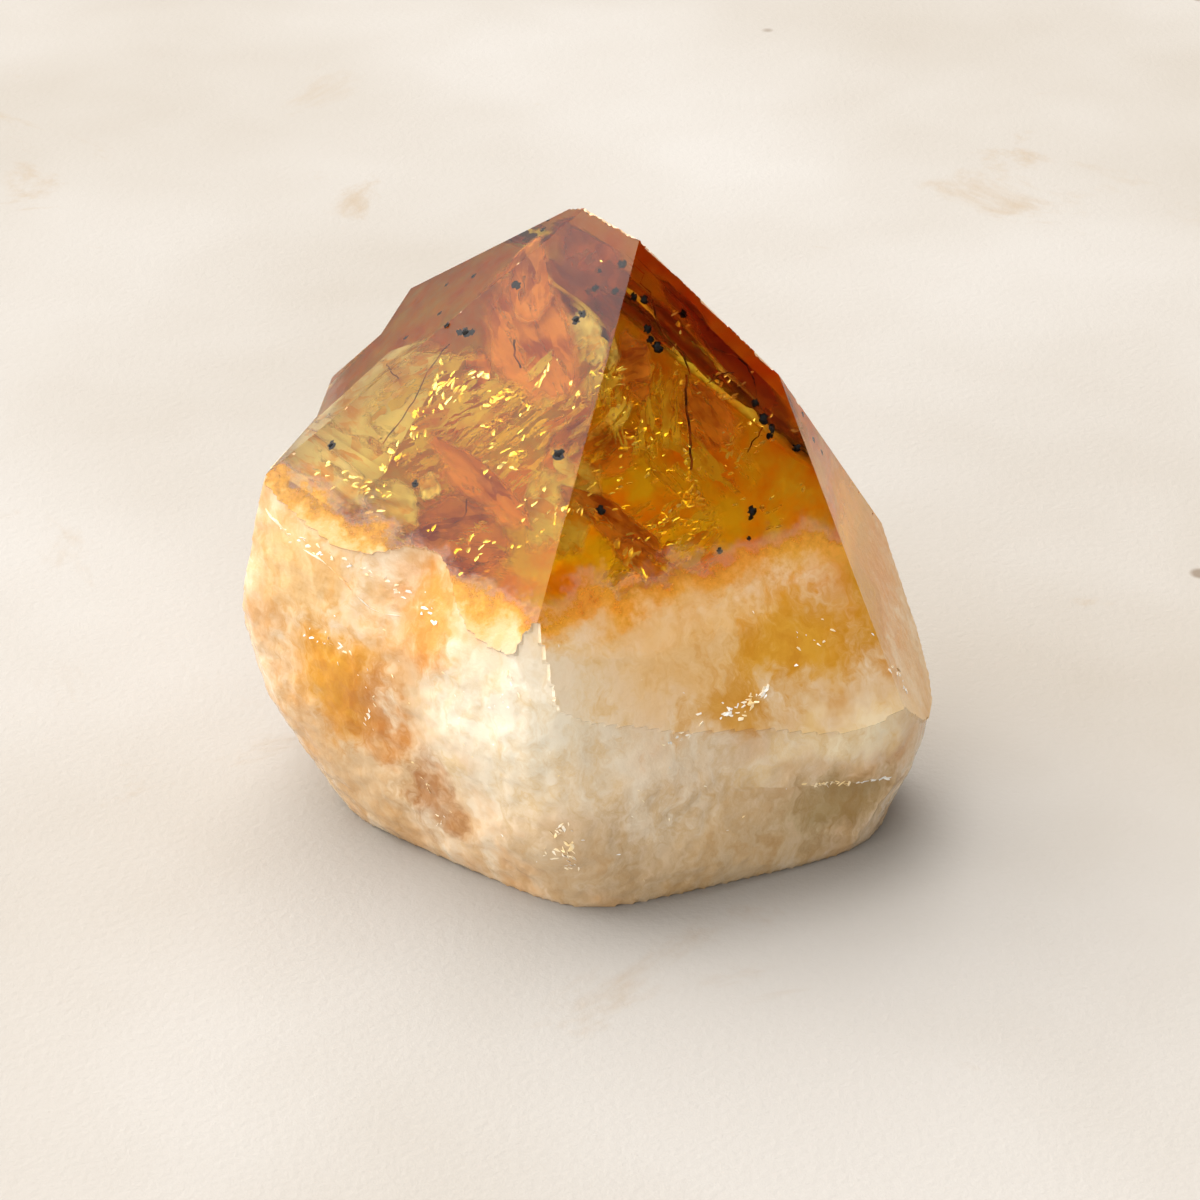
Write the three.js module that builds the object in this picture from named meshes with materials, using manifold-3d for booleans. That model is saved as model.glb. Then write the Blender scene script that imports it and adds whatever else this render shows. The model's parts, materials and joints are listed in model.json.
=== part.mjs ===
// A citrine crystal point: one natural quartz crystal with a six-faced pyramid on top of a
// rough, broken root, resting upright on its flat base. Millimetres, +Z up, origin at the
// middle of the underside's bounding box.

import * as THREE from "three";
import { mergeVertices } from "three/addons/utils/BufferGeometryUtils.js";
import Module from "manifold-3d";

// Quartz geometry: each pyramid face leans 51.8 degrees off the c-axis, one every 60 degrees.
const PYRAMID_TILT = THREE.MathUtils.degToRad(51.8);
const FACE_STEP = 60;

// How the crystal leans: direction of its c-axis, and the heading of its first pyramid face.
const C_AXIS = new THREE.Vector3(0.214, -0.086, 0.973).normalize();
const FIRST_FACE_HEADING = new THREE.Vector3(-0.605, -0.794, 0.063);

// Distance of each pyramid face from the origin of growth, in order round the c-axis: left
// front, right front, the sliver on the right, right back, left back, the sliver on the left.
const PYRAMID_DISTANCES = [32.13, 25.92, 29.19, 28.25, 39.19, 40.12];

// Growth steps on the back left: each takes away what lies outside both of its two planes,
// which run along the c-axis at a heading and a distance of their own.
const GROWTH_STEPS = [
  { riser: { heading: 289.5, distance: 27.3 }, tread: { heading: 246.9, distance: 21.7 } },
  { riser: { heading: 300.8, distance: 29.3 }, tread: { heading: 274.1, distance: 25.7 } },
];

// The root is a rounded, uneven hexagon. Each level gives its height and how far its six sides
// stand from the root's own axis: left front, right front, right, right back, left back, left.
const ROOT_AXIS = new THREE.Vector2(-1.5, 0);
const ROOT_SIDES = [232.8, 291.4, 352.9, 52.8, 111.4, 172.9].map(THREE.MathUtils.degToRad);
const ROOT_LEVELS = [
  { height: 0, sides: [17.7, 20.4, 26.0, 15.5, 15.5, 19.8] },
  { height: 2.5, sides: [18.6, 20.9, 27.0, 16.5, 17.0, 21.8] },
  { height: 6, sides: [19.5, 21.3, 28.2, 17.2, 18.5, 24.0] },
  { height: 10, sides: [20.1, 21.4, 28.9, 17.5, 19.5, 26.1] },
  { height: 15, sides: [20.7, 21.5, 29.2, 17.8, 20.5, 27.5] },
  { height: 21, sides: [20.9, 21.5, 29.6, 18.3, 21.5, 28.0] },
  { height: 28, sides: [19.8, 21.5, 30.0, 19.5, 22.0, 27.8] },
  { height: 36, sides: [19.0, 21.5, 30.0, 22.0, 22.5, 27.0] },
  { height: 56, sides: [19.0, 21.5, 30.0, 22.0, 22.5, 27.0] },
];
const ROOT_ROUNDING = 11; // higher is sharper at the hexagon's corners
const ROOT_AZIMUTHS = 72;
const ROOT_RINGS = 40;
const LUMP_HEIGHT = 0.35; // how far the root's uneven surface stands in and out
const FLAT_BASE_RISE = 0.9; // below this the lumps die away, so the base stays flat

// A shallow scoop in the root under the left front face.
const SCOOP = {
  azimuth: THREE.MathUtils.degToRad(229),
  height: 28,
  halfWidth: THREE.MathUtils.degToRad(13),
  halfHeight: 6.5,
  depth: 2.2,
};

// A small break that bevels the front edge where it runs into the root.
const FRONT_BREAK = { facing: new THREE.Vector3(0.079, -0.892, 0.444).normalize(), distance: 28.75 };

// The small overhanging ledge low on the right: outside one plane and under the other.
const LEDGE_SIDE = { facing: new THREE.Vector3(0.454, -0.891, 0).normalize(), distance: 21.45 };
const LEDGE_UNDERSIDE = { facing: new THREE.Vector3(-0.226, 0, -0.974).normalize(), distance: -11.85 };

const CUTTER_SIZE = 200;

const wasm = await Module();
wasm.setup();

function solidFrom(geometry) {
  const bare = geometry.index ? geometry.toNonIndexed() : geometry.clone();
  bare.deleteAttribute("normal");
  bare.deleteAttribute("uv");
  const merged = mergeVertices(bare, 1e-4);
  return new wasm.Manifold(
    new wasm.Mesh({
      numProp: 3,
      vertProperties: merged.attributes.position.array,
      triVerts: new Uint32Array(merged.index.array),
    }),
  );
}

function geometryFrom(solid) {
  const mesh = solid.getMesh();
  const geometry = new THREE.BufferGeometry();
  geometry.setAttribute("position", new THREE.BufferAttribute(mesh.vertProperties, 3));
  geometry.setIndex(new THREE.BufferAttribute(mesh.triVerts, 1));
  return geometry;
}

// Crystal frame: Z along the c-axis, X towards the first pyramid face.
function crystalFrame() {
  const towardFirst = FIRST_FACE_HEADING.clone().projectOnPlane(C_AXIS).normalize();
  const sideways = new THREE.Vector3().crossVectors(C_AXIS, towardFirst);
  return new THREE.Matrix4().makeBasis(towardFirst, sideways, C_AXIS);
}

const CRYSTAL_FRAME = crystalFrame();

function crystalDirection(headingDegrees, tilt) {
  const heading = THREE.MathUtils.degToRad(headingDegrees);
  return new THREE.Vector3(
    Math.sin(tilt) * Math.cos(heading),
    Math.sin(tilt) * Math.sin(heading),
    Math.cos(tilt),
  ).transformDirection(CRYSTAL_FRAME);
}

// A large block whose inner face lies on a plane; it fills the far side of that plane.
function blockBeyond(normal, distance) {
  const block = new THREE.BoxGeometry(CUTTER_SIZE, CUTTER_SIZE, CUTTER_SIZE);
  block.translate(0, 0, distance + CUTTER_SIZE / 2);
  const turn = new THREE.Quaternion().setFromUnitVectors(new THREE.Vector3(0, 0, 1), normal);
  block.applyQuaternion(turn);
  return solidFrom(block);
}

function sidesAt(height) {
  const above = Math.max(1, ROOT_LEVELS.findIndex((level) => level.height >= height));
  const low = ROOT_LEVELS[above - 1];
  const high = ROOT_LEVELS[above];
  const share = (height - low.height) / (high.height - low.height);
  return low.sides.map((side, i) => THREE.MathUtils.lerp(side, high.sides[i], share));
}

function lumpAt(azimuth, height) {
  const fade = THREE.MathUtils.smoothstep(height, 0, FLAT_BASE_RISE);
  const wave =
    0.5 * Math.sin(5 * azimuth + 0.31 * height) +
    0.3 * Math.sin(9 * azimuth - 0.52 * height + 1.3) +
    0.2 * Math.sin(3 * azimuth + 0.83 * height + 2.1);
  return LUMP_HEIGHT * fade * wave;
}

function scoopAt(azimuth, height) {
  const across = (azimuth - SCOOP.azimuth) / SCOOP.halfWidth;
  const up = (height - SCOOP.height) / SCOOP.halfHeight;
  return SCOOP.depth * Math.exp(-across * across - up * up);
}

// Radius of the root at an azimuth and height: a hexagon whose corners are rounded by summing
// each side's share to a high power.
function rootRadius(azimuth, height) {
  const sides = sidesAt(height);
  let sum = 0;
  ROOT_SIDES.forEach((heading, i) => {
    const facing = Math.max(0, Math.cos(azimuth - heading));
    sum += (facing / sides[i]) ** ROOT_ROUNDING;
  });
  return sum ** (-1 / ROOT_ROUNDING) + lumpAt(azimuth, height) - scoopAt(azimuth, height);
}

// The root: a cylinder whose wall is moved in or out to the root's radius.
function rootGeometry() {
  const top = ROOT_LEVELS.at(-1).height;
  const root = new THREE.CylinderGeometry(1, 1, top, ROOT_AZIMUTHS, ROOT_RINGS);
  root.rotateX(Math.PI / 2);
  root.translate(0, 0, top / 2);
  const position = root.attributes.position;
  for (let i = 0; i < position.count; i++) {
    const x = position.getX(i);
    const y = position.getY(i);
    const height = position.getZ(i);
    const azimuth = (Math.atan2(y, x) + 2 * Math.PI) % (2 * Math.PI);
    const radius = rootRadius(azimuth, height);
    position.setXYZ(i, ROOT_AXIS.x + radius * x, ROOT_AXIS.y + radius * y, height);
  }
  return root;
}

function growCrystal() {
  let crystal = solidFrom(rootGeometry());
  PYRAMID_DISTANCES.forEach((distance, turn) => {
    const normal = crystalDirection(turn * FACE_STEP, PYRAMID_TILT);
    crystal = crystal.subtract(blockBeyond(normal, distance));
  });
  for (const { riser, tread } of GROWTH_STEPS) {
    const outsideRiser = blockBeyond(crystalDirection(riser.heading, Math.PI / 2), riser.distance);
    const outsideTread = blockBeyond(crystalDirection(tread.heading, Math.PI / 2), tread.distance);
    crystal = crystal.subtract(outsideRiser.intersect(outsideTread));
  }
  crystal = crystal.subtract(blockBeyond(FRONT_BREAK.facing, FRONT_BREAK.distance));
  const outsideLedge = blockBeyond(LEDGE_SIDE.facing, LEDGE_SIDE.distance);
  const belowLedge = blockBeyond(LEDGE_UNDERSIDE.facing, LEDGE_UNDERSIDE.distance);
  crystal = crystal.subtract(outsideLedge.intersect(belowLedge));
  return crystal;
}

function centredOnBase(geometry) {
  geometry.computeBoundingBox();
  const middle = geometry.boundingBox.getCenter(new THREE.Vector3());
  return geometry.translate(-middle.x, -middle.y, -geometry.boundingBox.min.z);
}

const citrine = new THREE.MeshStandardMaterial({ color: 0xd98a2b, roughness: 0.12, metalness: 0 });

const crystal = new THREE.Mesh(centredOnBase(geometryFrom(growCrystal())), citrine);
crystal.name = "citrine_crystal";

const part = new THREE.Group();
part.add(crystal);

export default part;
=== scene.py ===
"""Looks of a citrine crystal point: the faceted crystal, its milky root and what is sealed inside.

The clear point and its root are one piece, grown over the fixed construction node. Everything is in
metres in the construction frame; sizes below are written in millimetres and scaled by MM. A noise or
cell pattern's scale is its patches to the metre, so 250 gives a patch every 4 millimetres.
"""

import json
import math
import random

import bpy
from mathutils import Matrix, Vector, noise

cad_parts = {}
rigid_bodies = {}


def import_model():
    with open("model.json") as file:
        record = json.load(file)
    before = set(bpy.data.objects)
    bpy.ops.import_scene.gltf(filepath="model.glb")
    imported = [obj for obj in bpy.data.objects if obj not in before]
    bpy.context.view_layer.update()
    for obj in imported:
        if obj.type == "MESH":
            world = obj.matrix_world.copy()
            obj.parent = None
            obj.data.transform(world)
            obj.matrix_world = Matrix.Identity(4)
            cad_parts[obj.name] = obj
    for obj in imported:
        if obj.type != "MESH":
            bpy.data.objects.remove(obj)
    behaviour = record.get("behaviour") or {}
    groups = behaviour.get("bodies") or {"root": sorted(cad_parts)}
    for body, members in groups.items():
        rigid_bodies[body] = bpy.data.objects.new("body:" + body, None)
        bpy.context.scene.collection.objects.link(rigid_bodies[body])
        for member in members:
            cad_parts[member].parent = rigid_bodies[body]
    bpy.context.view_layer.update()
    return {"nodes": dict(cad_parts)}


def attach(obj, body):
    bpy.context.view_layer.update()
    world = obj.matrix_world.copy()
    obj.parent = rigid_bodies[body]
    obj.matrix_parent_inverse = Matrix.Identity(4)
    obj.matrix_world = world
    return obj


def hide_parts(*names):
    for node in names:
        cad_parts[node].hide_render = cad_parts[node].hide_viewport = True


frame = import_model()

bl_info = {
    "name": "Citrine crystal point",
    "version": (1, 0, 0),
    "blender": (4, 5, 0),
    "location": "View3D > Sidebar > Citrine",
    "description": "Builds a citrine crystal point with its veils, fractures, specks and milky root",
    "category": "Object",
}

MM = 0.001
NODE = "citrine_crystal"
BODY = "root"
QUARTZ_IOR = 1.544

WELD = 0.002 * MM  # corners of the construction mesh nearer than this are one
FILM_THICKNESS = 0.03 * MM
MILK_INSET = 1.2  # millimetres that the milky cloud stays under the surface
FILM_MARGIN = 0.8 * MM  # how far films, sparkles and threads stay under the flat faces, in turn
SPARKLE_MARGIN = 0.7 * MM
THREAD_MARGIN = 0.3 * MM
FOOT_FADE = 1.5 * MM  # the root's roughness fades over these near the floor and the flat faces
EDGE_FADE = 2.2 * MM
CREASE = math.radians(24)  # edges sharper than this stay crisp

# Quartz grows to fixed angles: pyramid faces lean 51.8 degrees off the c-axis, one every 60 degrees.
PYRAMID_TILT = math.radians(51.8)
FACE_STEP = math.radians(60)
C_AXIS = Vector((0.214, -0.086, 0.973)).normalized()
FIRST_FACE_HEADING = Vector((-0.605, -0.794, 0.063))
FACE_NAMES = ("left_front", "right_front", "right_sliver", "right_back", "left_back", "left_sliver")


def prism_normal(turn):
    """Outward normal of a face along the c-axis, turned round it from the left front one."""
    toward = (FIRST_FACE_HEADING - FIRST_FACE_HEADING.dot(C_AXIS) * C_AXIS).normalized()
    return math.cos(turn) * toward + math.sin(turn) * C_AXIS.cross(toward)


def face_normal(index):
    """Outward normal of a pyramid face, counted round the c-axis from the left front one."""
    return math.sin(PYRAMID_TILT) * prism_normal(index * FACE_STEP) + math.cos(PYRAMID_TILT) * C_AXIS


CAD_POINTS = [v.co.copy() for v in frame["nodes"][NODE].data.vertices]
GROWTH_ORIGIN = Vector((0.9685, -0.0096, 0.0)) * MM  # the planes below are measured from here


def plane(normal, millimetres):
    """A plane as its normal and its distance from the frame's origin, in metres."""
    normal = normal.normalized()
    return normal, millimetres * MM + normal.dot(GROWTH_ORIGIN)


PYRAMID = {}
for index, face_name in enumerate(FACE_NAMES):
    outward = face_normal(index)
    PYRAMID[face_name] = (outward, max(outward.dot(point) for point in CAD_POINTS))

# Growth steps on the back left: each takes away what lies outside both of its planes. Each plane is
# given by its turn round the c-axis in degrees and its distance in millimetres.
GROWTH_STEPS = tuple(
    tuple(plane(prism_normal(math.radians(turn)), millimetres) for turn, millimetres in step)
    for step in (((289.5, 27.3), (246.9, 21.7)), ((300.8, 29.3), (274.1, 25.7)))
)

# The overhanging ledge low on the right: outside one plane and under the other.
LEDGE = (plane(Vector((0.454, -0.891, 0)), 20.95), plane(Vector((-0.226, 0, -0.974)), -11.85))

SUMMIT = max(CAD_POINTS, key=lambda point: point.z)


def face_frame(face_name):
    """A pyramid face's own axes: rightwards as seen from outside, down the slope and outward, and
    the point of the face under the summit."""
    normal, distance = PYRAMID[face_name]
    down = -(C_AXIS - C_AXIS.dot(normal) * normal).normalized()
    right = normal.cross(down)
    start = SUMMIT + (distance - normal.dot(SUMMIT)) * normal
    return right, down, normal, start


def under_face(face_name, across, down, depth):
    """A point inside the crystal, in millimetres across, down and below a pyramid face."""
    right, slope, normal, start = face_frame(face_name)
    return start + MM * (across * right + down * slope - depth * normal)


def linear(hex_colour):
    """An sRGB hex colour as linear RGBA."""
    channels = [int(hex_colour[i : i + 2], 16) / 255 for i in (0, 2, 4)]
    return [c / 12.92 if c <= 0.04045 else ((c + 0.055) / 1.055) ** 2.4 for c in channels] + [1.0]


class CrystalSettings(bpy.types.PropertyGroup):
    """Sizes of the crystal's surface and of what is sealed in it."""

    milk_height: bpy.props.FloatProperty(
        name="Milk height",
        description="Height of the line where the clear point turns to milky root",
        default=25.9 * MM,
        unit="LENGTH",
    )
    grain: bpy.props.FloatProperty(
        name="Grain", description="Size of the root's faces", default=0.36 * MM, unit="LENGTH"
    )
    roughness_height: bpy.props.FloatProperty(
        name="Root roughness",
        description="How far the broken root stands in and out",
        default=0.34 * MM,
        unit="LENGTH",
    )
    seed: bpy.props.IntProperty(name="Seed", description="Seed of every random draw", default=7)


class CrystalColours(bpy.types.PropertyGroup):
    """Colours and optics of the crystal."""

    amber: bpy.props.FloatVectorProperty(
        name="Amber",
        description="What is left of white light after it crosses one absorption length",
        subtype="COLOR",
        size=3,
        default=(0.993, 0.905, 0.03),
    )
    density: bpy.props.FloatProperty(
        name="Absorption density", description="Absorption per metre", default=125.0, min=0
    )


def settings():
    """The sizes, as the sidebar holds them."""
    return bpy.context.scene.citrine_settings


def colours():
    """The colours, as the sidebar holds them."""
    return bpy.context.scene.citrine_colours


def add_node(tree, kind, inputs=None, stops=(), **options):
    """Adds one shader node, sets its options and a ramp's stops, and fills its inputs, each with a
    value or from another node's output."""
    node = tree.nodes.new("ShaderNode" + kind)
    for name, value in options.items():
        setattr(node, name, value)
    for index, (position, colour) in enumerate(stops):
        node.color_ramp.elements[index].position = position
        node.color_ramp.elements[index].color = colour
    for name, value in (inputs or {}).items():
        if isinstance(value, bpy.types.NodeSocket):
            tree.links.new(value, node.inputs[name])
        else:
            node.inputs[name].default_value = value
    return node


def new_material(name):
    """An empty material, its node tree, and the place on the piece that its patterns follow."""
    material = bpy.data.materials.new(name)
    material.use_nodes = True
    tree = material.node_tree
    tree.nodes.clear()
    return material, tree, add_node(tree, "TexCoord").outputs["Object"]


def mottled_material(name, scale, detail, stops, finish):
    """An opaque material whose colour drifts in patches between two tones."""
    material, tree, place = new_material(name)
    patches = add_node(tree, "TexNoise", {"Vector": place, "Scale": scale, "Detail": detail})
    tones = add_node(tree, "ValToRGB", {"Fac": patches.outputs["Fac"]}, stops)
    surface = add_node(tree, "BsdfPrincipled", {"Base Color": tones.outputs["Color"], **finish})
    add_node(tree, "OutputMaterial", {"Surface": surface.outputs["BSDF"]})
    return material


def deselect_all():
    """Leaves edit mode and selects nothing."""
    if bpy.context.mode != "OBJECT":
        bpy.ops.object.mode_set(mode="OBJECT")
    bpy.ops.object.select_all(action="DESELECT")


def make_active(piece):
    """Selects one piece and nothing else."""
    deselect_all()
    piece.select_set(True)
    bpy.context.view_layer.objects.active = piece


def edit_all():
    """Opens the active piece in edit mode with all of it selected."""
    bpy.ops.object.mode_set(mode="EDIT")
    bpy.ops.mesh.select_all(action="SELECT")


def finish_piece(piece, name, *materials):
    """Puts a finished piece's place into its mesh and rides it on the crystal."""
    for material in materials:
        piece.data.materials.append(material)
    make_active(piece)
    bpy.ops.object.transform_apply(location=True, rotation=True, scale=True)
    piece.name = name
    piece.data.name = name
    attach(piece, BODY)
    return piece


# Stains in the milk, and a few patches of painted light marked below: centre and half sizes in millimetres,
# colour, and how strong it is.
STAINS_AND_PAINTED_LIGHT = (
    ((-8.0, 20.0, 10.0), (28.0, 13.0, 24.0), "B0824C", 0.8),
    ((22.0, 12.0, 8.0), (10.0, 16.0, 16.0), "C69C66", 0.7),
    ((-21.0, 11.0, 16.0), (13.0, 11.0, 18.0), "9A6A34", 0.9),
    # Painted highlight: near white where the light falls on the front ridge.
    ((-5.5, -21.5, 18.0), (9.5, 9.0, 9.0), "EEE4CE", 1.0),
    ((5.0, -20.5, 11.0), (9.0, 8.0, 6.5), "EEDFC6", 0.8),
    ((-22.7, -8.7, 24.0), (6.0, 7.0, 5.0), "E4BE84", 0.85),
    ((-18.0, -11.0, 6.0), (7.0, 6.0, 5.5), "CFAE82", 0.85),
    # Painted shade in these two rows: duller grey-beige low on the front, where the foot turns away from
    # the light.
    ((12.5, -17.7, 3.5), (11.0, 8.0, 7.5), "D8BE96", 0.85),
    ((-2.0, -22.0, 4.5), (7.0, 5.0, 4.5), "CDB592", 0.8),
    # Painted highlight: pale band on the lip of the ledge.
    ((20.8, -14.5, 12.0), (7.0, 6.0, 2.2), "FFF0CC", 0.8),
    # Painted shade: dark patch under the ledge's overhang.
    ((20.6, -14.0, 5.4), (5.5, 5.0, 2.6), "AE925C", 0.9),
    ((9.0, -16.0, 21.5), (9.0, 8.0, 5.0), "EBC690", 0.8),
    ((22.0, -3.0, 27.0), (5.0, 9.0, 13.0), "DB8C30", 1.0),
    ((-20.3, -11.0, 15.5), (4.8, 4.8, 5.8), "D89A2C", 1.0),
    ((-17.0, -13.0, 13.0), (2.8, 2.8, 4.2), "C47C14", 0.75),
    ((-12.4, -15.9, 24.5), (3.4, 3.4, 4.6), "E09A3C", 0.9),
    ((-12.2, -16.0, 7.2), (1.8, 2.4, 4.6), "A86E30", 0.85),
    ((16.4, -13.2, 20.0), (6.0, 5.2, 4.0), "DC9E24", 0.95),
    ((10.8, -17.5, 16.6), (4.2, 3.4, 1.7), "D2962C", 0.8),
    ((22.6, -9.0, 23.5), (2.4, 3.0, 6.5), "CC8E14", 1.0),
)


def lay_patch(tree, place, ragged, colour, centre, half_sizes, colour_patch, strength):
    """Lays one patch over a colour, its edge broken by a ragged value from 0 to 1. Most patches are iron
    stains; a few are painted highlights and painted shade.
    """
    inward = add_node(
        tree, "VectorMath", {0: place, 1: Vector(centre) * MM}, operation="SUBTRACT"
    ).outputs["Vector"]
    shrunk = add_node(
        tree, "VectorMath", {0: inward, 1: Vector(half_sizes) * MM}, operation="DIVIDE"
    ).outputs["Vector"]
    reach = add_node(tree, "VectorMath", {0: shrunk}, operation="LENGTH").outputs["Value"]
    broken = add_node(tree, "Math", {0: ragged, 1: 1.5, 2: reach}, operation="MULTIPLY_ADD")
    cover = add_node(
        tree,
        "MapRange",
        {"Value": broken.outputs[0], "From Min": 2.25, "From Max": 1.15, "To Max": strength},
        interpolation_type="SMOOTHSTEP",
    ).outputs[0]
    return add_node(tree, "Mix", {0: cover, 6: colour, 7: linear(colour_patch)}, data_type="RGBA").outputs[2]


def milk_colour(tree, place):
    """Milky quartz: cream, clouded over centimetres, streaked over millimetres, with iron stains and a few
    patches of painted highlight and painted shade on the root.
    """
    drifts = add_node(
        tree, "TexNoise", {"Vector": place, "Scale": 240.0, "Detail": 3.0, "Roughness": 0.6}
    )
    shift = add_node(
        tree,
        "VectorMath",
        {0: drifts.outputs["Color"], 1: (0.5, 0.5, 0.5)},
        operation="SUBTRACT",
    ).outputs["Vector"]
    bent = add_node(
        tree,
        "VectorMath",
        {0: shift, 1: (8.0 * MM, 8.0 * MM, 8.0 * MM), 2: place},
        operation="MULTIPLY_ADD",
    ).outputs["Vector"]
    slanted = add_node(
        tree,
        "Mapping",
        {"Vector": bent, "Rotation": (0.25, 0.75, 0.2), "Scale": (1.0, 1.0, 0.3)},
    ).outputs["Vector"]
    streaks = add_node(
        tree, "TexNoise", {"Vector": slanted, "Scale": 420.0, "Detail": 5.0, "Roughness": 0.68}
    ).outputs["Fac"]
    creams = ((0.36, linear("DCB07C")), (0.62, linear("EBD7B9")))
    colour = add_node(tree, "ValToRGB", {"Fac": drifts.outputs["Fac"]}, creams).outputs["Color"]
    for colour_patch in STAINS_AND_PAINTED_LIGHT:
        colour = lay_patch(tree, bent, streaks, colour, *colour_patch)
    wisps = add_node(
        tree, "ValToRGB", {"Fac": streaks}, ((0.34, (0.86, 0.72, 0.52, 1)), (0.60, (1, 1, 1, 1)))
    ).outputs["Color"]
    return add_node(tree, "VectorMath", {0: colour, 1: wisps}, operation="MULTIPLY").outputs["Vector"]


CLEAR_TINT = (1.0, 0.99, 0.97, 1.0)
SMOKE_TINT = (0.75, 0.12, 0.02, 1.0)


def smoke_tint(tree, place, ragged):
    """Smoke in quartz: colour centres that darken the crystal towards one edge, red-brown."""
    normal, distance = PYRAMID["right_back"]
    along = add_node(
        tree, "VectorMath", {0: place, 1: normal}, operation="DOT_PRODUCT"
    ).outputs["Value"]
    uneven = add_node(
        tree, "Math", {0: ragged, 1: 3.0 * MM, 2: along}, operation="MULTIPLY_ADD"
    ).outputs[0]
    smoke = add_node(
        tree,
        "MapRange",
        {"Value": uneven, "From Min": distance - 5.0 * MM, "From Max": distance + 1.5 * MM},
        interpolation_type="SMOOTHSTEP",
    ).outputs[0]
    return add_node(tree, "Mix", {0: smoke, 6: CLEAR_TINT, 7: SMOKE_TINT}, data_type="RGBA").outputs[2]


def quartz_material(name, milk_height, edge, most_milk=1.0, slope=0.0, smoky=False, sheen=0.5):
    """Natural quartz: clear and glossy above milk_height, and below it clouded with trapped fluid. The
    milk line rises leftwards by slope; a smoky face turns red-brown towards the edge it shares with
    the right back face. Inside, the amber of heat-treated iron takes light to gold, then to red."""
    material, tree, place = new_material(name)
    split = add_node(tree, "SeparateXYZ", {"Vector": place}).outputs

    # The milk line: wavy over centimetres, ragged over a millimetre.
    leaned = add_node(
        tree, "Math", {0: split["X"], 1: slope, 2: split["Z"]}, operation="MULTIPLY_ADD"
    ).outputs[0]
    rags = add_node(
        tree, "TexNoise", {"Vector": place, "Scale": 260.0, "Detail": 5.0, "Roughness": 0.72}
    ).outputs["Fac"]
    ragged = add_node(
        tree, "Math", {0: rags, 1: 8.0 * MM, 2: leaned}, operation="MULTIPLY_ADD"
    ).outputs[0]
    start, end = milk_height + 4.0 * MM - edge, milk_height + 4.0 * MM + edge
    clear = add_node(
        tree,
        "MapRange",
        {"Value": ragged, "From Min": start, "From Max": end, "To Min": 1 - most_milk},
        interpolation_type="SMOOTHSTEP",
    ).outputs[0]

    # Thin milk lets the amber through: it turns gold before it clears.
    thinning = add_node(tree, "MapRange", {"Value": clear, "From Max": 0.45}).outputs[0]
    gilded = add_node(
        tree,
        "Mix",
        {0: thinning, 6: milk_colour(tree, place), 7: linear("F2B44C")},
        data_type="RGBA",
    ).outputs[2]
    clearing = add_node(tree, "MapRange", {"Value": clear, "From Min": 0.7}).outputs[0]
    clearest = smoke_tint(tree, place, rags) if smoky else CLEAR_TINT
    tint = add_node(tree, "Mix", {0: clearing, 6: gilded, 7: clearest}, data_type="RGBA").outputs[2]

    # Gloss, transmission and the root's fine grain all change over at the milk line.
    roughness, passing, relief = (
        add_node(tree, "MapRange", {"Value": clear, "To Min": in_milk, "To Max": in_clear}).outputs[0]
        for in_milk, in_clear in ((0.14, 0.02), (0.05, 1.0), (0.38, 0.01))
    )
    grain = add_node(
        tree, "TexNoise", {"Vector": place, "Scale": 1100.0, "Detail": 4.0, "Roughness": 0.62}
    ).outputs["Fac"]
    bump = add_node(tree, "Bump", {"Distance": 0.2 * MM, "Height": grain, "Strength": relief})
    quartz = add_node(
        tree,
        "BsdfPrincipled",
        {
            "IOR": QUARTZ_IOR,
            "Specular IOR Level": sheen,
            "Base Color": tint,
            "Roughness": roughness,
            "Transmission Weight": passing,
            "Normal": bump.outputs["Normal"],
        },
    ).outputs["BSDF"]
    amber = {"Color": (*colours().amber, 1), "Density": colours().density}
    volume = add_node(tree, "VolumeAbsorption", amber).outputs["Volume"]
    add_node(tree, "OutputMaterial", {"Surface": quartz, "Volume": volume})
    return material


class CITRINE_OT_stage(bpy.types.Operator):
    """Adds the pale floor, the soft studio light and the camera"""

    bl_idname = "citrine.stage"
    bl_label = "Stage"

    def execute(self, context):
        add_floor()
        add_lights()
        add_camera()
        set_film()
        return {"FINISHED"}


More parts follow.
